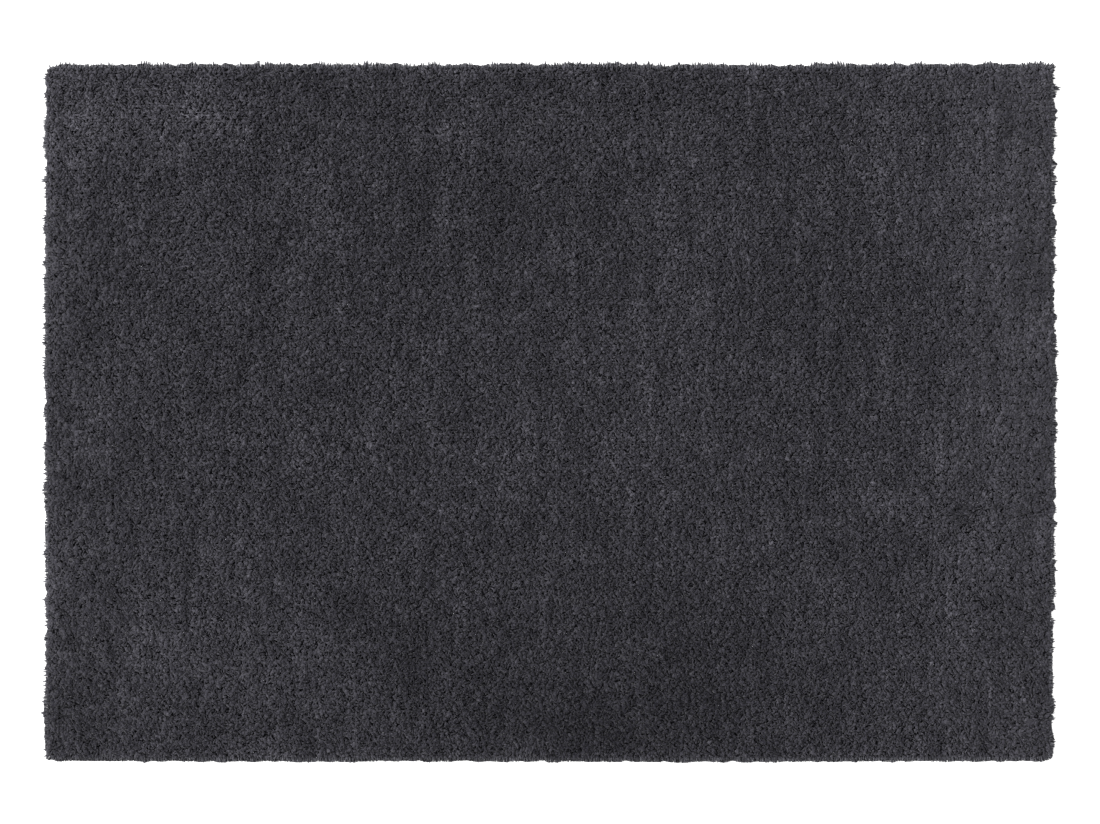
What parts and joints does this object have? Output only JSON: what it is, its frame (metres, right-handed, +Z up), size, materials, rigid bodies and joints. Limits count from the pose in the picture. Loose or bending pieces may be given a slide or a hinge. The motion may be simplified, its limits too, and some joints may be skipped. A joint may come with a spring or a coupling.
{
  "type": "shag rug",
  "caption": "Rectangular shag rug, one tufted slab, flat underneath, with a lumpy high pile on top and locks of yarn standing out round its rim.",
  "frame": {"origin": "middle of the underside, on the floor", "axes": "+X along the long side, +Y along the short side, +Z up through the pile"},
  "size_m": [2.9171, 2.0109, 0.0392],
  "materials": {
    "pile_yarn": "matte"
  },
  "bodies": {
    "root": {"shag_rug": "pile_yarn"}
  },
  "joints": []
}
